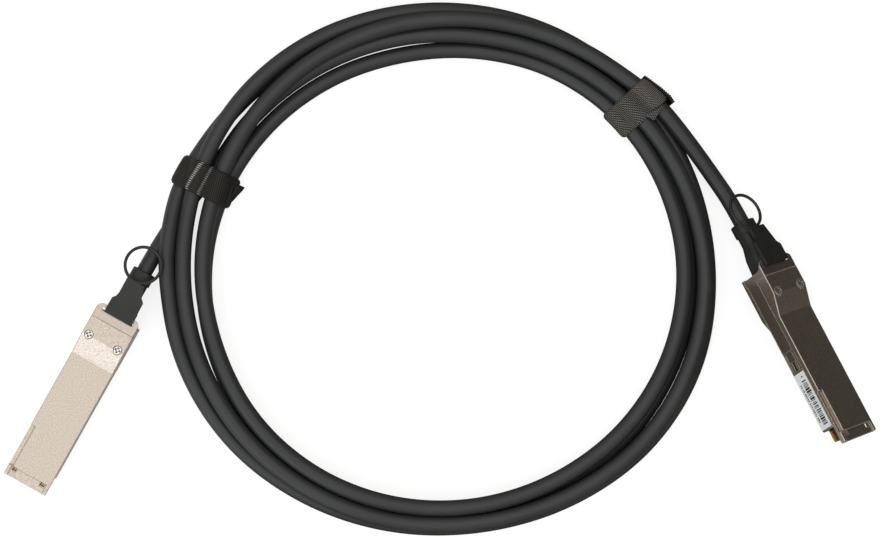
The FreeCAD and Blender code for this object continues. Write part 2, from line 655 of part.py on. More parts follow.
def make_pairs():
    """Screened pairs: half of them fan out to the card's top face, half to its underside."""
    start_y = ferrule_start() + FERRULE_LENGTH
    pairs = []
    per_face = PAIR_COUNT // 2
    for face in (-1, 1):
        landing = CARD_TOP + PAIR_DIAMETER / 2 if face > 0 else CARD_HEIGHT - PAIR_DIAMETER / 2
        for i in range(per_face):
            lane = i - (per_face - 1) / 2
            start = Vector(lane * PAIR_DIAMETER * 1.05, start_y, CABLE_HEIGHT + face * PAIR_DIAMETER * 0.6)
            end = Vector(lane * PAIR_PITCH, CARD_REAR + 3.0, landing)
            points = [start, start + Vector(0, 3.0, 0), end - Vector(0, 4.5, 0), end]
            pairs.append(mitred_tube(points, PAIR_DIAMETER, 8))
    return Part.makeCompound(pairs)


def make_label():
    return box(HALF_WIDTH, HALF_WIDTH + LABEL_THICKNESS, LABEL_REAR, LABEL_REAR + LABEL_LENGTH,
               LABEL_LOW, LABEL_LOW + LABEL_HEIGHT)


def make_coil():
    """The wound turns as one solid ring between two ovals, bevelled above and below."""
    outer = oval_wire(COIL_OUTER_X, COIL_OUTER_Y, 0, 0)
    inner = oval_wire(COIL_INNER_X, COIL_INNER_Y, COIL_INNER_SHIFT_X, COIL_INNER_SHIFT_Y)
    ring = Part.Face(outer).cut(Part.Face(inner)).extrude(Vector(0, 0, COIL_HEIGHT)).Solids[0]
    rims = [edge for edge in ring.Edges if edge.BoundBox.ZLength < 0.01]
    return ring.makeChamfer(COIL_CHAMFER, rims)


def oval_wire(half_x, half_y, shift_x, shift_y):
    """Oval of four tangent arcs that meet on its diagonals."""
    offset = (half_x - half_y) / (2 - math.sqrt(2))
    end_radius = half_x - offset
    side_radius = half_y + offset
    joint_x = offset + end_radius / math.sqrt(2)
    joint_y = end_radius / math.sqrt(2)
    centre = Vector(shift_x, shift_y, 0)
    joints = [Vector(joint_x, -joint_y, 0), Vector(joint_x, joint_y, 0),
              Vector(-joint_x, joint_y, 0), Vector(-joint_x, -joint_y, 0)]
    tops = [Vector(offset + end_radius, 0, 0), Vector(0, side_radius - offset, 0),
            Vector(-offset - end_radius, 0, 0), Vector(0, offset - side_radius, 0)]
    edges = []
    for i, top in enumerate(tops):
        arc = Part.Arc(centre + joints[i], centre + top, centre + joints[(i + 1) % 4])
        edges.append(arc.toShape())
    return Part.Wire(edges)


def tie_solids(angle, inner, outer):
    """A closed strap round the coil's section, and the space that it encloses."""
    height = COIL_HEIGHT + 2 * TIE_THICKNESS
    middle = (inner + outer) / 2

    def block(margin):
        x0 = inner - middle + margin
        x1 = outer - middle - margin
        radius = max(TIE_ROUND - margin, 0.5)
        corners = [(x0, margin, radius), (x1, margin, radius), (x1, height - margin, radius),
                   (x0, height - margin, radius)]
        wire = outline(corners, lambda p: Vector(p.x, 0, p.y))
        solid = Part.Face(wire).extrude(Vector(0, TIE_WIDTH, 0))
        solid.translate(Vector(0, -TIE_WIDTH / 2, 0))
        return solid

    turn = Rotation(Vector(0, 0, 1), angle)
    place = Placement(turn.multVec(Vector(middle, 0, 0)), turn)
    strap = block(0).cut(block(TIE_THICKNESS))
    strap.Placement = place
    return strap


def plug_placement(plug):
    """Where a plug's own frame lies; its lowest corner is brought down to the floor later."""
    heading = Rotation(Vector(0, 0, 1), plug["heading"] - 90)
    lift = Rotation(Vector(1, 0, 0), plug["lift"])
    roll = Rotation(Vector(0, 1, 0), plug["roll"])
    return Placement(Vector(plug["at"][0], plug["at"][1], 0), heading.multiply(lift).multiply(roll))


def build_plug(name, plug):
    """All pieces of one plug, standing on the floor, and the placement that put them there."""
    pieces = {
        "top_shell": make_top_shell(),
        "bottom_shell": make_bottom_shell(),
        "latch_slider": make_slider(),
        "pull_tab": make_pull_tab(plug["tab_shift"], plug["tab_skew"], plug["ring_shift"]),
        "return_springs": make_springs(),
        "screws": make_screws(),
        "paddle_card": make_card(),
        "contact_fingers": make_fingers(),
        "memory_chip": make_chip(),
        "twinax_pairs": make_pairs(),
        "crimp_ferrule": make_ferrule(),
        "cable_boot": make_boot(),
    }
    if name == "b":
        pieces["label"] = make_label()
    place = plug_placement(plug)
    lowest = min(placed(shape, place).BoundBox.ZMin for shape in (pieces["bottom_shell"], pieces["latch_slider"]))
    place.Base = place.Base + Vector(0, 0, -lowest)
    nodes = {piece + "_" + name: placed(shape, place) for piece, shape in pieces.items()}
    return nodes, place


def placed(shape, place):
    copy = shape.copy()
    copy.Placement = place.multiply(copy.Placement)
    return copy


def build_tail(points, place, name):
    """The cable from inside the coil through the boot to the crimp ferrule's end."""
    route = [Vector(*point) for point in points]
    for y in (-BOOT_LENGTH - TAIL_STRAIGHT, -BOOT_LENGTH + 4.0):
        route.append(place.multVec(Vector(0, y, CABLE_HEIGHT)))
    free = arc_tube(route, CABLE_DIAMETER, name)
    inside_from = route[-1]
    inside_to = place.multVec(Vector(0, ferrule_start() + FERRULE_LENGTH, CABLE_HEIGHT))
    inside = rod(CABLE_DIAMETER / 2, (inside_to - inside_from).Length, inside_from, inside_to - inside_from)
    return free.fuse(inside).removeSplitter(), route


def build():
    nodes = {}
    places = {}
    for name, plug in PLUGS.items():
        plug_nodes, place = build_plug(name, plug)
        nodes.update(plug_nodes)
        places[name] = place

    coil = make_coil()
    for name, tie in TIES.items():
        strap = tie_solids(tie["angle"], tie["inner"], tie["outer"])
        nodes["tie_" + name] = strap
        coil = coil.cut(strap)
    tails = {"a": TAIL_A_POINTS, "b": TAIL_B_POINTS}
    for name, points in tails.items():
        tail, _ = build_tail(points, places[name], "cable_tail_" + name)
        for solid in (nodes["tie_a"], nodes["tie_b"], coil):
            tail = tail.cut(solid)
        nodes["cable_tail_" + name] = largest_solid(tail)
    nodes["cable_coil"] = largest_solid(coil)
    return nodes, places


def largest_solid(shape):
    """Cutting leaves slivers beside the piece that is wanted."""
    return max(shape.Solids, key=lambda solid: solid.Volume)


def footprint_shift(nodes):
    """Move that puts the middle of the two plugs' footprint, at floor level, on the origin."""
    bounds = FreeCAD.BoundBox()
    for name, shape in nodes.items():
        if not name.startswith(("cable_coil", "cable_tail", "tie_")):
            bounds.add(shape.optimalBoundingBox(False))
    return Vector(-bounds.Center.x, -bounds.Center.y, -bounds.ZMin)


def main():
    nodes, _ = build()
    shift = footprint_shift(nodes)
    print("coil centre at", round(shift.x, 3), round(shift.y, 3), round(shift.z, 3))
    os.makedirs("parts", exist_ok=True)
    for name, shape in nodes.items():
        shape.translate(shift)
        shape.exportStep("parts/" + name + ".step")


if __name__ == "__main__":
    main()
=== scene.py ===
import json
import math
import random

import bmesh
import bpy
from mathutils import Matrix, Vector, noise


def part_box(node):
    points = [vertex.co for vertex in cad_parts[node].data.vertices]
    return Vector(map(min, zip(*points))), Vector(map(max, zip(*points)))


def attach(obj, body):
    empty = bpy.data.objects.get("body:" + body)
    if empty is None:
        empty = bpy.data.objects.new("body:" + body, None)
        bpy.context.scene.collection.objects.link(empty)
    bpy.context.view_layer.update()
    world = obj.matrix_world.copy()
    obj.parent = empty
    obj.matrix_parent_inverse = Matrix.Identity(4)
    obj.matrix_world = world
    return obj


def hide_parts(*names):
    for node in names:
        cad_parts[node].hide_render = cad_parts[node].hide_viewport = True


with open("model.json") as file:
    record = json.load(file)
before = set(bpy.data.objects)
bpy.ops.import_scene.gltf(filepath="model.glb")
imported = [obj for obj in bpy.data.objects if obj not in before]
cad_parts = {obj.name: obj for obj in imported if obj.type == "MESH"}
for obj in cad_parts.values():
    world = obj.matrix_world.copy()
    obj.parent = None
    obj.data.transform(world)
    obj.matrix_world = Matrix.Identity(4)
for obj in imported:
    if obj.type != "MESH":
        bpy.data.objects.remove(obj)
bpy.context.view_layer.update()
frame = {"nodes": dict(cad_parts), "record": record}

MM = 0.001  # sizes are in millimetres from here on, unless a comment says otherwise

# ------------------------------------------------------------------ places taken from the frame
mounts = {m["name"]: m for m in frame["record"]["mounts"]}
coil_low, coil_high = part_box("cable_coil")
COIL = Vector(((coil_low[0] + coil_high[0]) / 2, (coil_low[1] + coil_high[1]) / 2, 0))
NOSE = 71.0  # the plug's front end, ahead of the shells' rear, in millimetres
MIDDLE = 4.25  # half the height of the part that enters the cage


class Plug:
    """A plug's own frame: y = 0 at the shells' rear, +y out of the nose, +z up, in millimetres."""

    def __init__(self, name):
        cage = mounts["plug_%s_cage" % name]
        self.forward = Vector(cage["axis"])
        self.up = Vector(mounts["plug_%s_top" % name]["axis"])
        self.right = self.forward.cross(self.up)
        self.origin = Vector(cage["pos_m"]) - (self.forward * NOSE + self.up * MIDDLE) * MM

    def at(self, x, y, z):
        return self.origin + (self.right * x + self.forward * y + self.up * z) * MM


PLUG_A = Plug("a")
PLUG_B = Plug("b")

# ------------------------------------------------------------------ camera
CAMERA_HEIGHT = 1.207  # metres
CAMERA_SHIFT = (0.00078, -0.00012)  # metres, from the coil's centre to the photo's middle
camera_data = bpy.data.cameras.new("camera")
camera_data.lens = 125
camera_data.sensor_width = 36
camera_data.clip_start = 0.05
camera = bpy.data.objects.new("camera", camera_data)
camera.location = (COIL.x + CAMERA_SHIFT[0], COIL.y + CAMERA_SHIFT[1], CAMERA_HEIGHT)
bpy.context.scene.collection.objects.link(camera)
bpy.context.scene.camera = camera

# ------------------------------------------------------------------ the cable's route
CABLE = 6.4
BOOT_END = -24.5
BOOT_OVERLAP = 4  # how far the cable reaches into the boot
TAIL_STRAIGHT = 9  # how far it runs straight behind the boot
CABLE_AXIS = 5.0
# Free ends, from the coil's centre, in millimetres: the same points as the solids' tails
TAIL_A = [(-104.6, 17.0, 3.5), (-97.6, 27.4, 3.25), (-89.5, 36.8, 3.2)]
TAIL_B = [(78.0, 71.6, 9.2), (88.3, 61.6, 8.8), (98.8, 48.4, 7.0), (108.3, 35.4, 4.9)]
# The turns, clockwise from the left: radius and height of the cable's middle at every step, in degrees
TURN_STEP = 20
FIRST_ANGLE = 40
TURNS = [
    (93.7, 4.1), (91.9, 5.5), (91.3, 7.4), (92.0, 8.7), (94.8, 9.4), (98.3, 9.8),
    (101.7, 9.5), (104.5, 9.4), (105.6, 9.4), (105.3, 9.4), (102.5, 9.4), (100.6, 9.4),
    (100.4, 9.4), (100.5, 9.3), (100.5, 9.3), (100.4, 9.6), (99.9, 10.0), (100.6, 10.3),
    (101.8, 10.0), (101.7, 8.9), (101.0, 7.1), (101.3, 5.3), (102.5, 4.1), (103.7, 3.4),
    (104.4, 3.2), (105.8, 3.2), (108.1, 3.2), (107.3, 3.2), (104.2, 3.2), (102.0, 3.2),
    (102.1, 3.3), (103.5, 3.7), (105.7, 4.8), (106.5, 6.6), (106.2, 9.4), (105.0, 5.6),
    (101.2, 3.7), (98.8, 3.2), (96.0, 3.2), (95.3, 3.2), (96.2, 3.2), (97.4, 3.2),
    (97.9, 3.2), (99.2, 3.2), (99.6, 3.2), (99.4, 3.2), (97.2, 3.2), (95.6, 3.2),
    (95.6, 3.2), (96.0, 3.2), (95.9, 3.2), (93.8, 3.2), (92.2, 3.2), (89.9, 3.2),
    (87.3, 3.3), (85.5, 3.4), (84.7, 3.7), (86.5, 4.3), (89.8, 5.4), (92.6, 7.2),
    (94.5, 8.6), (96.4, 9.0), (96.9, 9.0), (96.3, 9.1), (94.9, 9.2), (94.2, 9.4),
    (94.0, 9.4), (94.0, 9.3), (93.8, 9.4), (92.4, 9.5), (92.4, 9.6), (92.3, 9.9),
    (93.6, 10.5), (95.0, 11.1), (96.4, 11.4), (98.3, 11.0), (101.2, 10.3),
]
# Where the cable crosses over another strand two points stand for one: changes of angle, radius and height
CLIMB_ANGLE = 720
CLIMB = [(-1, -0.6, 0.5), (10, -1.2, 1.0)]


def turn_point(angle, radius, height):
    """A point of the coil: angle in degrees, clockwise seen from above, from the left."""
    a = math.radians(angle)
    return COIL + Vector((-radius * math.cos(a), radius * math.sin(a), height)) * MM


in_boot = BOOT_END + BOOT_OVERLAP
behind_boot = BOOT_END - TAIL_STRAIGHT
route = [PLUG_A.at(0, in_boot, CABLE_AXIS), PLUG_A.at(0, behind_boot, CABLE_AXIS)]
route += [COIL + Vector(p) * MM for p in TAIL_A]
for i, (radius, height) in enumerate(TURNS):
    # A spline of order 3 runs inside its control points by this much on an even arc
    outside = radius / math.cos(math.radians(TURN_STEP / 2))
    angle = FIRST_ANGLE + i * TURN_STEP
    for turn, out, up in CLIMB if angle == CLIMB_ANGLE else [(0, 0, 0)]:
        route.append(turn_point(angle + turn, outside + out, height + up))
route += [COIL + Vector(p) * MM for p in TAIL_B]
route += [PLUG_B.at(0, behind_boot, CABLE_AXIS), PLUG_B.at(0, in_boot, CABLE_AXIS)]


def spline_object(name, points, bevel):
    """A round tube, or a bare line if bevel is 0, along a spline that starts and ends on its points."""
    curve = bpy.data.curves.new(name, "CURVE")
    curve.dimensions = "3D"
    spline = curve.splines.new("NURBS")
    spline.points.add(len(points) - 1)
    for p, c in zip(spline.points, points):
        p.co = (c[0], c[1], c[2], 1)
    spline.order_u = 3
    spline.use_endpoint_u = True
    spline.resolution_u = 14
    curve.bevel_depth = bevel
    curve.bevel_resolution = 5
    curve.use_fill_caps = True
    obj = bpy.data.objects.new(name, curve)
    bpy.context.scene.collection.objects.link(obj)
    return obj


def spline_line(points):
    """The spline's own points, read from it without its thickness."""
    obj = spline_object("measure", points, 0)
    bpy.context.view_layer.update()
    mesh = bpy.data.meshes.new_from_object(obj)
    line = [v.co.copy() for v in mesh.vertices]
    bpy.data.meshes.remove(mesh)
    bpy.data.objects.remove(obj)
    return line


cable = spline_object("cable", route, CABLE / 2 * MM)
centre_line = spline_line(route)
cable_length = sum((b - a).length for a, b in zip(centre_line[:-1], centre_line[1:]))
print("cable length", round(cable_length, 3))


# ------------------------------------------------------------------ materials
def new_material(name):
    m = bpy.data.materials.new(name)
    m.use_nodes = True
    return m, m.node_tree, m.node_tree.nodes["Principled BSDF"]


def object_coordinates(tree):
    """Millimetres of the object's own space."""
    coordinates = tree.nodes.new("ShaderNodeTexCoord")
    mapping = tree.nodes.new("ShaderNodeMapping")
    mapping.inputs["Scale"].default_value = [1 / MM] * 3
    tree.links.new(coordinates.outputs["Object"], mapping.inputs["Vector"])
    return mapping.outputs["Vector"]


def noise_node(tree, vector, scale, detail=2.0, rough=0.5):
    n = tree.nodes.new("ShaderNodeTexNoise")
    n.inputs["Scale"].default_value = scale
    n.inputs["Detail"].default_value = detail
    n.inputs["Roughness"].default_value = rough
    tree.links.new(vector, n.inputs["Vector"])
    return n.outputs["Fac"]


def ramp(tree, value, low, high, position=(0.3, 0.7)):
    r = tree.nodes.new("ShaderNodeValToRGB")
    r.color_ramp.elements[0].position = position[0]
    r.color_ramp.elements[1].position = position[1]
    r.color_ramp.elements[0].color = (*low, 1)
    r.color_ramp.elements[1].color = (*high, 1)
    tree.links.new(value, r.inputs["Fac"])
    return r.outputs["Color"]


def value_range(tree, value, low, high):
    r = tree.nodes.new("ShaderNodeMapRange")
    r.inputs["To Min"].default_value = low
    r.inputs["To Max"].default_value = high
    tree.links.new(value, r.inputs["Value"])
    return r.outputs["Result"]


def bump(tree, shader, value, relief, previous=None, strength=1.0):
    """Relief on the shader's normal, over an earlier normal if there is one."""
    b = tree.nodes.new("ShaderNodeBump")
    b.inputs["Distance"].default_value = relief * MM
    b.inputs["Strength"].default_value = strength
    tree.links.new(value, b.inputs["Height"])
    if previous is not None:
        tree.links.new(previous, b.inputs["Normal"])
    tree.links.new(b.outputs["Normal"], shader.inputs["Normal"])


def soft_edges(tree, radius):
    """A normal rounded over this radius, so that an edge catches a line of light."""
    n = tree.nodes.new("ShaderNodeBevel")
    n.samples = 6
    n.inputs["Radius"].default_value = radius * MM
    return n.outputs["Normal"]


def maths(tree, operation, a, b=None):
    n = tree.nodes.new("ShaderNodeMath")
    n.operation = operation
    for socket, value in zip(n.inputs, (a, b)):
        if value is None:
            continue
        if isinstance(value, (int, float)):
            socket.default_value = value
        else:
            tree.links.new(value, socket)
    return n.outputs[0]


def openness(tree, distance, least, low=0.45, high=0.92):
    """1 on open faces, falling to the least value in grooves and corners no wider than distance.

    low and high are the shares of open sky between which it rises.
    """
    n = tree.nodes.new("ShaderNodeAmbientOcclusion")
    n.samples = 8
    n.inputs["Distance"].default_value = distance * MM
    r = tree.nodes.new("ShaderNodeMapRange")
    r.inputs["From Min"].default_value = low
    r.inputs["From Max"].default_value = high
    r.inputs["To Min"].default_value = least
    r.inputs["To Max"].default_value = 1.0
    tree.links.new(n.outputs["AO"], r.inputs["Value"])
    return r.outputs["Result"]


EDGE_GAIN = 8.0  # how fast a normal that turns away counts as an edge
# Painted highlight on metal edges: its pale colour, the share of it shown as plain colour, and the roughness
# it adds.
RIM_HIGHLIGHT_COLOUR = (0.95, 0.88, 0.78)
RIM_DULL = 0.7  # how much of a bright edge is plain colour and not reflection
RIM_ROUGHER = 0.35


def edge_share(tree, rounded):
    """1 on sharp edges, 0 on flat faces, from the rounded normal."""
    geometry = tree.nodes.new("ShaderNodeNewGeometry")
    dot = tree.nodes.new("ShaderNodeVectorMath")
    dot.operation = "DOT_PRODUCT"
    tree.links.new(rounded, dot.inputs[0])
    tree.links.new(geometry.outputs["True Normal"], dot.inputs[1])
    share = maths(tree, "MULTIPLY", maths(tree, "SUBTRACT", 1.0, dot.outputs["Value"]), EDGE_GAIN)
    n = tree.nodes.new("ShaderNodeClamp")
    tree.links.new(share, n.inputs["Value"])
    return n.outputs[0]


def mix_colour(tree, share, a, b, mode="MIX"):
    n = tree.nodes.new("ShaderNodeMix")
    n.data_type = "RGBA"
    n.blend_type = mode
    for socket, value in ((n.inputs[0], share), (n.inputs[6], a), (n.inputs[7], b)):
        if isinstance(value, (int, float)):
            socket.default_value = value
        elif isinstance(value, tuple):
            socket.default_value = (*value, 1)
        else:
            tree.links.new(value, socket)
    return n.outputs[2]


def metal(name, low, high, roughness, grain, relief, edge=0.2, spread=0.7, groove_shade_least=0.35, reach=0.9, rim_highlight=0.6):
    """Plated metal with a fine mottled grain, with painted shade in its grooves and a painted highlight on
    its edges.

    grain counts spots a millimetre; edge is the rounding; reach is how far the painted shade in a groove
    reaches, and groove_shade_least the light left in it; spread is the share of the noise over which low
    turns into high; rim_highlight is the strength of the painted highlight on edges.
    """
    m, tree, shader = new_material(name)
    vector = object_coordinates(tree)
    fine = noise_node(tree, vector, grain, 3.0, 0.65)
    colour = ramp(tree, fine, low, high, (0.5 - spread / 2, 0.5 + spread / 2))
    rounded = soft_edges(tree, edge)
    open_share = openness(tree, reach, groove_shade_least)
    # Painted highlight: a pale colour mixed in along edges, less in grooves.
    edges = maths(tree, "MULTIPLY", maths(tree, "MULTIPLY", edge_share(tree, rounded), open_share), rim_highlight)
    colour = mix_colour(tree, edges, colour, RIM_HIGHLIGHT_COLOUR)
    # Painted shade: the colour darkens in grooves, recesses and corners.
    colour = mix_colour(tree, 1.0, colour, open_share, "MULTIPLY")
    tree.links.new(colour, shader.inputs["Base Color"])
    metallic = maths(tree, "SUBTRACT", 1.0, maths(tree, "MULTIPLY", edges, RIM_DULL))
    tree.links.new(metallic, shader.inputs["Metallic"])
    rough = value_range(tree, noise_node(tree, vector, grain * 0.6, 2.0), *roughness)
    rough = maths(tree, "ADD", rough, maths(tree, "MULTIPLY", edges, RIM_ROUGHER))
    tree.links.new(rough, shader.inputs["Roughness"])
    bump(tree, shader, fine, relief, rounded)
    return m


PLASTIC_EDGE = 0.2
PLASTIC_PATCHES = 0.12  # a millimetre


def plastic(name, low, high, roughness, grain, relief):
    """Moulded plastic, paper or ink: two near shades in wide patches, and a fine relief."""
    m, tree, shader = new_material(name)
    vector = object_coordinates(tree)
    fine = noise_node(tree, vector, grain, 2.0)
    wide = noise_node(tree, vector, PLASTIC_PATCHES, 3.0)
    tree.links.new(ramp(tree, wide, low, high), shader.inputs["Base Color"])
    tree.links.new(value_range(tree, fine, *roughness), shader.inputs["Roughness"])
    bump(tree, shader, fine, relief, soft_edges(tree, PLASTIC_EDGE))
    return m


jacket, tree, shader = new_material("jacket")
vector = object_coordinates(tree)
wide = noise_node(tree, vector, 0.05, 3.0)
fine = noise_node(tree, vector, 3.0, 3.0, 0.6)
colour = ramp(tree, wide, (0.027, 0.0288, 0.0282), (0.035, 0.0372, 0.0365))
tree.links.new(colour, shader.inputs["Base Color"])
tree.links.new(value_range(tree, fine, 0.36, 0.50), shader.inputs["Roughness"])
bump(tree, shader, fine, 0.012)

shell_metal = metal("shell_metal", (0.44, 0.378, 0.32), (0.84, 0.737, 0.635), (0.27, 0.42), 2.5, 0.0022,
                    edge=0.3, spread=0.34, rim_highlight=0.9)
slider_metal = metal("slider_metal", (0.50, 0.43, 0.37), (0.68, 0.595, 0.515), (0.24, 0.36), 1.8, 0.003,
                     edge=0.24, spread=0.5, rim_highlight=0.9)
# The screws and the gold contacts get deep painted shade in their recesses.
screw_metal = metal("screw_metal", (0.90, 0.88, 0.84), (0.95, 0.93, 0.90), (0.14, 0.22), 1.2, 0.002,
                    edge=0.3, groove_shade_least=0.1, rim_highlight=1.0)
spring_steel = metal("spring_steel", (0.55, 0.55, 0.55), (0.70, 0.70, 0.70), (0.25, 0.35), 1.0, 0.002)
gold = metal("gold", (0.80, 0.50, 0.18), (0.92, 0.60, 0.24), (0.24, 0.36), 2.0, 0.002,
             edge=0.1, groove_shade_least=0.2, reach=2.5)
tin = metal("tin", (0.62, 0.60, 0.56), (0.75, 0.73, 0.68), (0.30, 0.42), 1.5, 0.006)
foil = metal("foil", (0.70, 0.70, 0.70), (0.85, 0.85, 0.85), (0.18, 0.34), 0.8, 0.03)
tab_black = plastic("tab_black", (0.013, 0.013, 0.012), (0.022, 0.022, 0.020), (0.38, 0.50), 4.0, 0.008)
boot_black = plastic("boot_black", (0.014, 0.014, 0.012), (0.024, 0.024, 0.021), (0.44, 0.60), 3.0, 0.012)
chip_black = plastic("chip_black", (0.010, 0.010, 0.010), (0.016, 0.016, 0.016), (0.45, 0.6), 4.0, 0.004)

LACQUER_END = 64.4  # along the plug
LACQUER_FADE = 8.0  # share a millimetre


def board_material(name, plug):
    """Green lacquer, left off round the contacts, where the bare laminate shows."""
    m, tree, shader = new_material(name)
    vector = object_coordinates(tree)
    wide = ramp(tree, noise_node(tree, vector, 1.2, 2.0), (0.010, 0.065, 0.022), (0.016, 0.100, 0.034))
    bare = ramp(tree, noise_node(tree, vector, 1.6, 2.0), (0.34, 0.15, 0.035), (0.46, 0.22, 0.06))
    along = tree.nodes.new("ShaderNodeVectorMath")
    along.operation = "DOT_PRODUCT"
    along.inputs[1].default_value = plug.forward
    tree.links.new(vector, along.inputs[0])
    line = plug.origin.dot(plug.forward) / MM + LACQUER_END
    share = tree.nodes.new("ShaderNodeClamp")
    step = maths(tree, "SUBTRACT", along.outputs["Value"], line)
    tree.links.new(maths(tree, "MULTIPLY", step, LACQUER_FADE), share.inputs["Value"])
    tree.links.new(mix_colour(tree, share.outputs[0], wide, bare), shader.inputs["Base Color"])
    shader.inputs["Roughness"].default_value = 0.32
    bump(tree, shader, noise_node(tree, vector, 1.2, 2.0), 0.004)
    return m


board_a = board_material("board_a", PLUG_A)
board_b = board_material("board_b", PLUG_B)
label_white = plastic("label_white", (0.82, 0.83, 0.83), (0.87, 0.88, 0.88), (0.45, 0.55), 2.0, 0.003)
label_ink = plastic("label_ink", (0.015, 0.015, 0.015), (0.03, 0.03, 0.03), (0.45, 0.55), 2.0, 0.002)

CAD_MATERIALS = {
    "top_shell": shell_metal, "bottom_shell": shell_metal, "latch_slider": slider_metal,
    "screws": screw_metal, "return_springs": spring_steel, "contact_fingers": gold,
    "crimp_ferrule": tin, "twinax_pairs": foil, "pull_tab": tab_black, "cable_boot": boot_black,
    "memory_chip": chip_black, "label": label_white,
}


def assign(obj, material):
    obj.data.materials.clear()
    obj.data.materials.append(material)


for node, obj in frame["nodes"].items():
    kind = node[:-2]
    material = CAD_MATERIALS.get(kind)
    if kind == "paddle_card":
        material = board_a if node.endswith("a") else board_b
    if material:
        if obj.material_slots:
            for place in obj.material_slots:
                place.material = material
        else:
            obj.data.materials.append(material)

assign(cable, jacket)
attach(cable, "assembly")
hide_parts("cable_coil", "cable_tail_a", "cable_tail_b")


# ------------------------------------------------------------------ hook-and-loop ties
TIE_RADIUS = 98.0  # from the coil's centre to the middle of a strap
TIE_WIDTH = 12.4
TIE_THICKNESS = 1.0
STRAND_REACH = 25  # strands further than this from the middle are another part of the coil
STRAND_POINTS = 48  # round a strand
CLEARANCE = 0.15  # between the strands and a strap
SAG = 1.4  # how deep a strap dips between two strands
SAG_SPANS = (2.0, 7.0)  # from no sag to all of it
PARALLEL = 1e-9  # tolerances of the crossing of two lines
NEAR = 1e-6
AROUND = 132  # points of a strap's line
ROWS = 15  # lines across a strap
HOOK_ROWS = 81  # lines across the end with the hooks, enough for its teeth


def strands_in(origin, direction):
    """Where the cable crosses the upright plane through origin: (along direction, height) in millimetres."""
    across = Vector((direction.y, -direction.x, 0))
    found = []
    for a, b in zip(centre_line[:-1], centre_line[1:]):
        side_a = (a - origin).dot(across)
        side_b = (b - origin).dot(across)
        if side_a * side_b < 0:
            p = a.lerp(b, side_a / (side_a - side_b)) - origin
            if abs(p.dot(direction)) < STRAND_REACH * MM:
                found.append((p.dot(direction) / MM, p.z / MM))
    return found


def hull(points):
    """The convex outline of flat points, anticlockwise."""
    points = sorted(points)

    def half(sequence):
        chain = []
        for p in sequence:
            while len(chain) > 1 and ((chain[-1][0] - chain[-2][0]) * (p[1] - chain[-2][1])
                                      - (chain[-1][1] - chain[-2][1]) * (p[0] - chain[-2][0])) <= 0:
                chain.pop()
            chain.append(p)
        return chain[:-1]

    return half(points) + half(points[::-1])


def wrap_line(origin, direction):
    """Closed line round all strands, evenly spaced by direction from its middle; it sags between them."""
    ring = []
    reach = CABLE / 2 + CLEARANCE
    for r, z in strands_in(origin, direction):
        for i in range(STRAND_POINTS):
            a = 2 * math.pi * i / STRAND_POINTS
            ring.append((r + reach * math.cos(a), z + reach * math.sin(a)))
    outline = hull(ring)
    middle = ((min(p[0] for p in outline) + max(p[0] for p in outline)) / 2,
              (min(p[1] for p in outline) + max(p[1] for p in outline)) / 2)
    line = []
    for i in range(AROUND):
        a = 2 * math.pi * i / AROUND
        d = (math.cos(a), math.sin(a))
        best = None
        for p, q in zip(outline, outline[1:] + outline[:1]):
            ex, ez = q[0] - p[0], q[1] - p[1]
            det = d[0] * -ez + d[1] * ex
            if abs(det) < PARALLEL:
                continue
            px, pz = p[0] - middle[0], p[1] - middle[1]
            t = (px * -ez + pz * ex) / det
            s = (d[0] * pz - d[1] * px) / det
            if t > 0 and -NEAR <= s <= 1 + NEAR:
                free = (math.hypot(ex, ez) - SAG_SPANS[0]) / (SAG_SPANS[1] - SAG_SPANS[0])
                dip = SAG * math.sin(math.pi * s) ** 2 * min(1, max(0, free)) if d[1] > 0 else 0
                best = (middle[0] + d[0] * t, middle[1] + d[1] * t - dip)
        line.append(best)
    return line


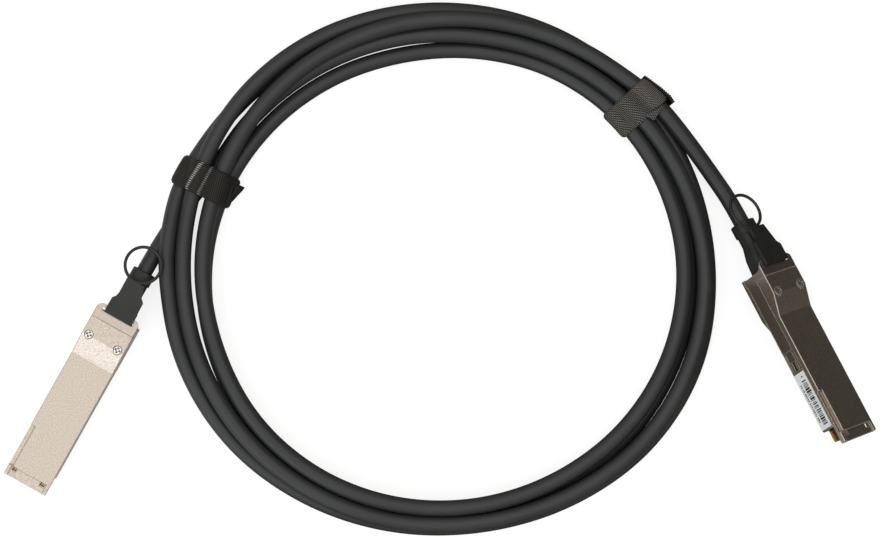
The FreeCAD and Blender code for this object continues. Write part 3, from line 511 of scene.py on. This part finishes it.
def strip(name, rows, offsets, thickness, closed, material):
    """Tape with real thickness. rows[j][i] is (along the radius, height) in millimetres at offsets[j]
    across the tape; the tape's outer face lies to the right of the line's direction of travel."""
    mesh = bpy.data.meshes.new(name)
    bm = bmesh.new()
    uv = bm.loops.layers.uv.new("tape")
    count = len(rows[0])
    grid = []
    place = {}
    for j, line in enumerate(rows):
        edge = 0.5 if j in (0, len(rows) - 1) else 1.0
        inner_row, outer_row = [], []
        travelled = 0
        for i, p in enumerate(line):
            before = line[i - 1] if closed or i > 0 else p
            after = line[(i + 1) % count] if closed or i < count - 1 else p
            tx, tz = after[0] - before[0], after[1] - before[1]
            size = math.hypot(tx, tz) or 1
            nx, nz = tz / size, -tx / size
            half = thickness * (1 - edge) / 2
            full = thickness - half
            if i:
                travelled += math.hypot(p[0] - line[i - 1][0], p[1] - line[i - 1][1])
            a = bm.verts.new((p[0] + nx * half, offsets[j], p[1] + nz * half))
            b = bm.verts.new((p[0] + nx * full, offsets[j], p[1] + nz * full))
            place[a] = place[b] = (travelled * MM, offsets[j] * MM)
            inner_row.append(a)
            outer_row.append(b)
        grid.append((inner_row, outer_row))

    def face(*corners):
        f = bm.faces.new(corners)
        f.smooth = True
        for loop in f.loops:
            loop[uv].uv = place[loop.vert]

    last = count if closed else count - 1
    for j in range(len(rows) - 1):
        for i in range(last):
            k = (i + 1) % count
            for side, flip in ((0, True), (1, False)):
                quad = [grid[j][side][i], grid[j + 1][side][i], grid[j + 1][side][k], grid[j][side][k]]
                face(*(quad[::-1] if flip else quad))
    for j, flip in ((0, False), (len(rows) - 1, True)):
        for i in range(last):
            k = (i + 1) % count
            quad = [grid[j][0][i], grid[j][1][i], grid[j][1][k], grid[j][0][k]]
            face(*(quad[::-1] if flip else quad))
    if not closed:
        for i, flip in ((0, True), (count - 1, False)):
            for j in range(len(rows) - 1):
                quad = [grid[j][0][i], grid[j][1][i], grid[j + 1][1][i], grid[j + 1][0][i]]
                face(*(quad[::-1] if flip else quad))
    bmesh.ops.recalc_face_normals(bm, faces=bm.faces)
    bm.to_mesh(mesh)
    bm.free()
    obj = bpy.data.objects.new(name, mesh)
    bpy.context.scene.collection.objects.link(obj)
    obj.data.materials.append(material)
    return obj


RIB_PITCH = 0.64
DASH_PITCH = 0.84
RIB_HEIGHT = 0.75
LOOP_HEIGHT = 1.5
SCATTER_LEAST = 0.35
PALE_ROW = (0.60, 0.57, 0.51)


def tape_material(name, rib_until, row_pitch, lean, pale_rows, low, high):
    """Woven nylon tape in its own millimetres: ribs along it, then rows of loops, with painted highlight on
    their crests and painted shade in their hollows, and a few pale rows of dashes, which on the ribbed strap
    are a painted highlight.

    The ribs end at rib_until along the tape. A pale row is its place along the tape, its width and strength.
    """
    m, tree, shader = new_material(name)
    coordinates = tree.nodes.new("ShaderNodeUVMap")
    coordinates.uv_map = "tape"
    split = tree.nodes.new("ShaderNodeSeparateXYZ")
    tree.links.new(coordinates.outputs["UV"], split.inputs[0])
    along = maths(tree, "MULTIPLY", split.outputs["X"], 1 / MM)
    across = maths(tree, "MULTIPLY", split.outputs["Y"], 1 / MM)
    scatter = noise_node(tree, object_coordinates(tree), 1.6, 3.0, 0.6)

    def wave(value, pitch):
        swing = maths(tree, "SINE", maths(tree, "MULTIPLY", value, 2 * math.pi / pitch))
        return maths(tree, "ADD", maths(tree, "MULTIPLY", swing, 0.5), 0.5)

    ribs = wave(across, RIB_PITCH)
    rows = wave(maths(tree, "ADD", along, maths(tree, "MULTIPLY", across, lean)), row_pitch)
    turn = tree.nodes.new("ShaderNodeClamp")
    tree.links.new(maths(tree, "ADD", maths(tree, "SUBTRACT", along, rib_until), 0.5), turn.inputs["Value"])
    loops = maths(tree, "MULTIPLY", maths(tree, "MULTIPLY", ribs, rows), LOOP_HEIGHT)
    rib_share = maths(tree, "SUBTRACT", RIB_HEIGHT, maths(tree, "MULTIPLY", turn.outputs[0], RIB_HEIGHT))
    pattern = maths(tree, "ADD", maths(tree, "MULTIPLY", ribs, rib_share),
                    maths(tree, "MULTIPLY", loops, turn.outputs[0]))
    pattern = maths(tree, "MULTIPLY", pattern, maths(tree, "ADD", scatter, SCATTER_LEAST))
    # Painted highlight and shade: the crests of the weave take the pale colour and its hollows take the dark
    # one.
    colour = ramp(tree, pattern, low, high, (0.05, 0.85))
    pale = None
    for place, width, strength in pale_rows:
        off = maths(tree, "ABSOLUTE", maths(tree, "SUBTRACT", along, place))
        band = tree.nodes.new("ShaderNodeClamp")
        off = maths(tree, "MULTIPLY", off, 1 / width)
        tree.links.new(maths(tree, "SUBTRACT", 1.0, off), band.inputs["Value"])
        dashes = wave(across, DASH_PITCH)
        dashes = maths(tree, "MULTIPLY", dashes, dashes)
        share = maths(tree, "MULTIPLY", maths(tree, "MULTIPLY", band.outputs[0], dashes), strength)
        pale = share if pale is None else maths(tree, "MAXIMUM", pale, share)
    # Pale dashed rows across the tape; on the ribbed strap they are a painted highlight.
    if pale is not None:
        colour = mix_colour(tree, pale, colour, PALE_ROW)
    tree.links.new(colour, shader.inputs["Base Color"])
    shader.inputs["Roughness"].default_value = 0.6
    shader.inputs["Specular IOR Level"].default_value = 0.25
    bump(tree, shader, pattern, 0.12, strength=0.8)
    return m


tie_ribbed = tape_material("tie_ribbed", 13.6, 0.7, 0.25, ((10.05, 0.8, 1.3), (14.45, 1.0, 0.7)),
                           (0.003, 0.003, 0.0024), (0.062, 0.058, 0.048))
tie_knit = tape_material("tie_knit", 8.5, 0.94, 0.61, ((9.0, 0.5, 0.16), (10.3, 0.5, 0.2)),
                         (0.008, 0.0077, 0.0066), (0.26, 0.238, 0.205))
tie_hook = tape_material("tie_hook", 40.0, 0.7, 0.0, (), (0.003, 0.003, 0.0025), (0.045, 0.043, 0.038))

SMOOTHINGS = 2  # times that the lines across a strap are evened out
BULGE_OUT = 0.45  # how far a strap swells at its outer bend, and at its inner one
BULGE_IN = 0.35
BULGE_EDGE = 0.75  # how much less at the strap's edges
EDGE_POWER = 10
FLARE_FROM = 0.1  # share of the width by which the flare starts before the middle
WANDER = 0.12
FLOOR_GAP = 0.02
UNDERSIDE = 1.5  # a strap's points below this height lie on the floor
HOOK_THICKNESS = 0.7  # share of a strap's
HOOK_GAP = 0.3
HOOK_WANDER = 0.15
HOOK_DROP = 0.8  # how far its free edge comes down past the strap, over the next length
HOOK_DROP_OVER = 4
HOOK_LOWEST = 0.75
TOOTH = 0.17
TOOTH_PITCH = 0.95
FLAP_THICKNESS = 0.8  # share of a strap's
FLAP_ROWS = 7
FLAP_LEAST = 0.2  # share of the length at the flap's short corner
FLAP_WANDER = 0.5


def spread_evenly(low, high, count):
    return [low + (high - low) * j / (count - 1) for j in range(count)]


def wander(size, *place):
    """A smooth irregular step up or down, fixed for a place in the noise, whose cells are 1 wide."""
    return size * noise.noise(Vector(place))


def make_tie(name, node, angle, skew, flare, material, hook, flap, seed):
    """A strap round the strands. Its end with the hooks, and a short free end, are strips of their own.

    hook is its first and last point round the strap, its reach across the strap and its curl; flap is its
    reach across the strap and its line, whose points are (radius, height, share of the wander).
    """
    turn = math.radians(angle + skew)
    direction = Vector((-math.cos(turn), math.sin(turn), 0))
    along = Vector((math.sin(turn), math.cos(turn), 0))
    start = math.radians(angle)
    middle = COIL + Vector((-math.cos(start), math.sin(start), 0)) * (TIE_RADIUS * MM)

    def section(v):
        return wrap_line(middle + along * (v * MM), direction)

    def swelled(row, v):
        """The strap bulges a little at its two bends, less towards its edges."""
        low = min(u for u, z in row)
        high = max(u for u, z in row)
        less = BULGE_EDGE * abs(2 * v / TIE_WIDTH) ** EDGE_POWER
        outward = BULGE_OUT - less + flare * max(0, v / TIE_WIDTH + FLARE_FROM) ** 2
        inward = BULGE_IN - less
        line = []
        for u, z in row:
            share = (u - low) / (high - low)
            line.append((u + outward * max(0, 2 * share - 1) ** 3 - inward * max(0, 1 - 2 * share) ** 3, z))
        return line

    offsets = [TIE_WIDTH * (j / (ROWS - 1) - 0.5) for j in range(ROWS)]
    rows = [section(v) for v in offsets]
    for smoothing in range(SMOOTHINGS):
        rows = [[tuple((rows[max(j - 1, 0)][i][k] + 2 * rows[j][i][k] + rows[min(j + 1, ROWS - 1)][i][k]) / 4
                       for k in (0, 1)) for i in range(AROUND)] for j in range(ROWS)]
    rows = [swelled(row, v) for row, v in zip(rows, offsets)]
    rows = [[(u, z + wander(WANDER, u * 0.35, v * 0.3, seed)) for u, z in row]
            for row, v in zip(rows, offsets)]
    rows = [[(u, max(z, TIE_THICKNESS + FLOOR_GAP) if z < UNDERSIDE else z) for u, z in row] for row in rows]
    pieces = [strip(name, rows, offsets, TIE_THICKNESS, True, material)]

    if hook:
        first, last, low_v, high_v, curl = hook
        hook_offsets = spread_evenly(low_v, high_v, HOOK_ROWS)
        lines = []
        for v in hook_offsets:
            row = section(v)
            line = []
            beyond = max(0.0, (v - TIE_WIDTH / 2) / HOOK_DROP_OVER)
            teeth = TOOTH * math.sin(2 * math.pi * v / TOOTH_PITCH)
            lift = TIE_THICKNESS + HOOK_GAP + curl * (v - low_v) - HOOK_DROP * beyond + teeth
            for step in range(first, last + 1):
                i = step % AROUND
                before, after = row[i - 1], row[(i + 1) % AROUND]
                tx, tz = after[0] - before[0], after[1] - before[1]
                size = math.hypot(tx, tz)
                out = lift + wander(HOOK_WANDER, v * 0.25, step * 0.06, seed * 3.1)
                line.append((row[i][0] + tz / size * out, max(row[i][1] - tx / size * out, HOOK_LOWEST)))
            lines.append(line)
        thickness = TIE_THICKNESS * HOOK_THICKNESS
        pieces.append(strip(name + "_end", lines, hook_offsets, thickness, False, tie_hook))

    if flap:
        low_v, high_v, profile = flap
        root = profile[0][0]
        flap_offsets = spread_evenly(low_v, high_v, FLAP_ROWS)
        lines = []
        for v in flap_offsets:
            wave = wander(FLAP_WANDER, v * 0.22, seed * 1.7, 2.0)
            reach = FLAP_LEAST + (1 - FLAP_LEAST) * (v - low_v) / (high_v - low_v)
            lines.append([(root + (u - root) * reach - TIE_RADIUS + wave * s, z + wave * s)
                          for u, z, s in profile])
        thickness = TIE_THICKNESS * FLAP_THICKNESS
        pieces.append(strip(name + "_flap", lines, flap_offsets, thickness, False, tie_hook))

    frame_matrix = Matrix((
        (direction.x * MM, along.x * MM, 0, middle.x),
        (direction.y * MM, along.y * MM, 0, middle.y),
        (0, 0, MM, 0),
        (0, 0, 0, 1)))
    for piece in pieces:
        piece.data.transform(frame_matrix)
        if frame_matrix.determinant() < 0:
            piece.data.flip_normals()
        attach(piece, "assembly")
    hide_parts(node)
    return pieces


def around(degrees):
    """The point of a strap's line at this angle, from the outer bend over the top."""
    return round(degrees / 360 * AROUND)


FLAP = (-3.6, 4.4, ((86.4, 6.0, 0.0), (85.0, 5.2, 0.3), (83.9, 4.4, 0.7), (83.0, 3.9, 1.0)))
HOOK = (around(-40), around(22), -6.5, 9.0, 0.07)
tie_pieces = make_tie("strap_a", "tie_a", 20.5, 5.0, 0.0, tie_ribbed, None, FLAP, 3)
tie_pieces += make_tie("strap_b", "tie_b", 140.7, -3.4, 1.0, tie_knit, HOOK, None, 8)

# The folded corner that peeps out beside the second strap: angle and radius, and its two faces' heights
FOLD_CORNERS = [(143.5, 100.2), (144.1, 108.3), (145.6, 102.0)]
FOLD_HEIGHTS = (12.75, 13.55)
fold_mesh = bpy.data.meshes.new("strap_b_fold")
fold_mesh.from_pydata([turn_point(a, r, z) for z in FOLD_HEIGHTS for a, r in FOLD_CORNERS], [],
                      [(0, 1, 2), (3, 5, 4), (0, 3, 4, 1), (1, 4, 5, 2), (2, 5, 3, 0)])
fold_uv = fold_mesh.uv_layers.new(name="tape")
for loop in fold_mesh.loops:
    point = fold_mesh.vertices[loop.vertex_index].co
    fold_uv.data[loop.index].uv = (point.x, point.y)
fold = bpy.data.objects.new("strap_b_fold", fold_mesh)
bpy.context.scene.collection.objects.link(fold)
fold.data.materials.append(tie_knit)
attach(fold, "assembly")
tie_pieces.append(fold)

# ------------------------------------------------------------------ print on the second plug's label
LABEL_X = 9.275
LABEL_Y = (38.9, 62.9)
PRINT_DEPTH = 0.02
BAR_ROW = (2.5, 5.3)
BAR_MARGINS = (3.4, 1.6)
TEXT_ROW = (1.0, 1.95)
TEXT_MARGINS = (4.6, 2.6)
DOT = (1.6, 2.1, 3.6, 4.5)
random.seed(5)
print_mesh = bpy.data.meshes.new("label_print_b")
bm = bmesh.new()


def printed_bar(y0, y1, z0, z1):
    corners = ((y0, z0), (y1, z0), (y1, z1), (y0, z1))
    low, high = ([bm.verts.new(PLUG_B.at(x, y, z)) for y, z in corners]
                 for x in (LABEL_X, LABEL_X + PRINT_DEPTH))
    bm.faces.new(high)
    for i in range(4):
        k = (i + 1) % 4
        bm.faces.new((low[i], low[k], high[k], high[i]))


y = LABEL_Y[0] + BAR_MARGINS[0]
while y < LABEL_Y[1] - BAR_MARGINS[1]:
    width = random.choice((0.28, 0.3, 0.5, 0.8))
    low = BAR_ROW[0] + random.uniform(0, 0.25)
    printed_bar(y, y + width, low, BAR_ROW[1] - random.uniform(0, 0.3))
    y += width + random.choice((0.26, 0.3, 0.55))
y = LABEL_Y[0] + TEXT_MARGINS[0]
while y < LABEL_Y[1] - TEXT_MARGINS[1]:
    printed_bar(y, y + random.uniform(0.3, 0.5), TEXT_ROW[0], TEXT_ROW[1] - random.uniform(0, 0.4))
    y += random.choice((0.7, 0.8, 1.15))
printed_bar(LABEL_Y[0] + DOT[0], LABEL_Y[0] + DOT[1], DOT[2], DOT[3])
bmesh.ops.recalc_face_normals(bm, faces=bm.faces)
bm.to_mesh(print_mesh)
bm.free()
label_print = bpy.data.objects.new("label_print_b", print_mesh)
bpy.context.scene.collection.objects.link(label_print)
label_print.data.materials.append(label_ink)
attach(label_print, "assembly")

# ------------------------------------------------------------------ floor, lights, world
scene = bpy.context.scene
scene.view_settings.view_transform = "Standard"


def plane(name, corners):
    mesh = bpy.data.meshes.new(name)
    mesh.from_pydata(corners, [], [(0, 1, 2, 3)])
    obj = bpy.data.objects.new(name, mesh)
    scene.collection.objects.link(obj)
    return obj


# In metres from here on
FLOOR = 4.0
FLOOR_DROP = 0.0002  # under the part, so that the two don't flicker
FLOOR_WHITE = (0.42, 0.42, 0.42)
FLOOR_IN_METAL = (0.14, 0.125, 0.105)  # what metal mirrors away from the first plug
FLOOR_GLOW = 0.78
NEAR_GLOW = 0.4  # share of the glow that metal mirrors by the first plug
AWAY_FROM = -0.1
AWAY_FADE = 30.0  # share a metre
floor = plane("floor", [(x * FLOOR, y * FLOOR, -FLOOR_DROP) for x, y in ((-1, -1), (1, -1), (1, 1), (-1, 1))])
white, tree, shader = new_material("floor_white")
shader.inputs["Roughness"].default_value = 0.9
shader.inputs["Specular IOR Level"].default_value = 0.1
path = tree.nodes.new("ShaderNodeLightPath")
# Metal shows the white floor by the first plug; the rest is darker there, as the photo's second plug shows
place = tree.nodes.new("ShaderNodeSeparateXYZ")
tree.links.new(tree.nodes.new("ShaderNodeTexCoord").outputs["Object"], place.inputs[0])
away = tree.nodes.new("ShaderNodeClamp")
past = maths(tree, "SUBTRACT", place.outputs["X"], AWAY_FROM)
tree.links.new(maths(tree, "MULTIPLY", past, AWAY_FADE), away.inputs["Value"])
darker = maths(tree, "MULTIPLY", path.outputs["Is Glossy Ray"], away.outputs[0])
tree.links.new(mix_colour(tree, darker, FLOOR_WHITE, FLOOR_IN_METAL), shader.inputs["Base Color"])
seen = maths(tree, "MAXIMUM", path.outputs["Is Camera Ray"], path.outputs["Is Transmission Ray"])
near = maths(tree, "MULTIPLY", maths(tree, "SUBTRACT", 1.0, away.outputs[0]), NEAR_GLOW)
# Painted shade in reflections: the glow that metal mirrors fades where the floor meets the parts.
near = maths(tree, "MULTIPLY", openness(tree, 14, 0.0, 0.3, 1.0), near)
mirrored = maths(tree, "MULTIPLY", path.outputs["Is Glossy Ray"], near)
lift = maths(tree, "MULTIPLY", maths(tree, "MAXIMUM", seen, mirrored), FLOOR_GLOW)
shader.inputs["Emission Color"].default_value = (1, 1, 1, 1)
tree.links.new(lift, shader.inputs["Emission Strength"])
floor.data.materials.append(white)


def card(name, low, high, height, colour):
    """An upright card from one floor point to another, seen only in reflections."""
    obj = plane(name, [(*low, 0), (*high, 0), (*high, height), (*low, height)])
    material, tree, shader = new_material(name)
    shader.inputs["Base Color"].default_value = (*colour, 1)
    shader.inputs["Roughness"].default_value = 0.9
    obj.data.materials.append(material)
    obj.visible_camera = False
    obj.visible_shadow = False
    obj.visible_diffuse = False


# Two dark cards, beyond and beside the second plug
card("card_far", (0.6, 0.02), (0.6, 0.9), 0.7, (0.02, 0.02, 0.02))
card("card_side", (0.112, 0.020), (0.146, -0.048), 0.032, (0.20, 0.17, 0.135))


def area_light(name, location, target, size, power, colour=(1, 1, 1)):
    data = bpy.data.lights.new(name, "AREA")
    data.shape = "RECTANGLE"
    data.size, data.size_y = size
    data.energy = power
    data.color = colour
    obj = bpy.data.objects.new(name, data)
    obj.location = location
    obj.rotation_euler = (Vector(target) - Vector(location)).to_track_quat("-Z", "Y").to_euler()
    scene.collection.objects.link(obj)


area_light("overhead", (-0.1, 0.3, 1.9), (-0.1, 0.3, 0), (2.6, 2.6), 14)
area_light("front_left", (-1.5, -1.5, 1.5), (0, 0, 0), (1.6, 2.2), 15.5, (0.86, 0.93, 1.0))

world = bpy.data.worlds.new("studio")
scene.world = world
world.use_nodes = True
background = world.node_tree.nodes["Background"]
background.inputs["Color"].default_value = (1.0, 0.985, 0.95, 1)
background.inputs["Strength"].default_value = 0.45
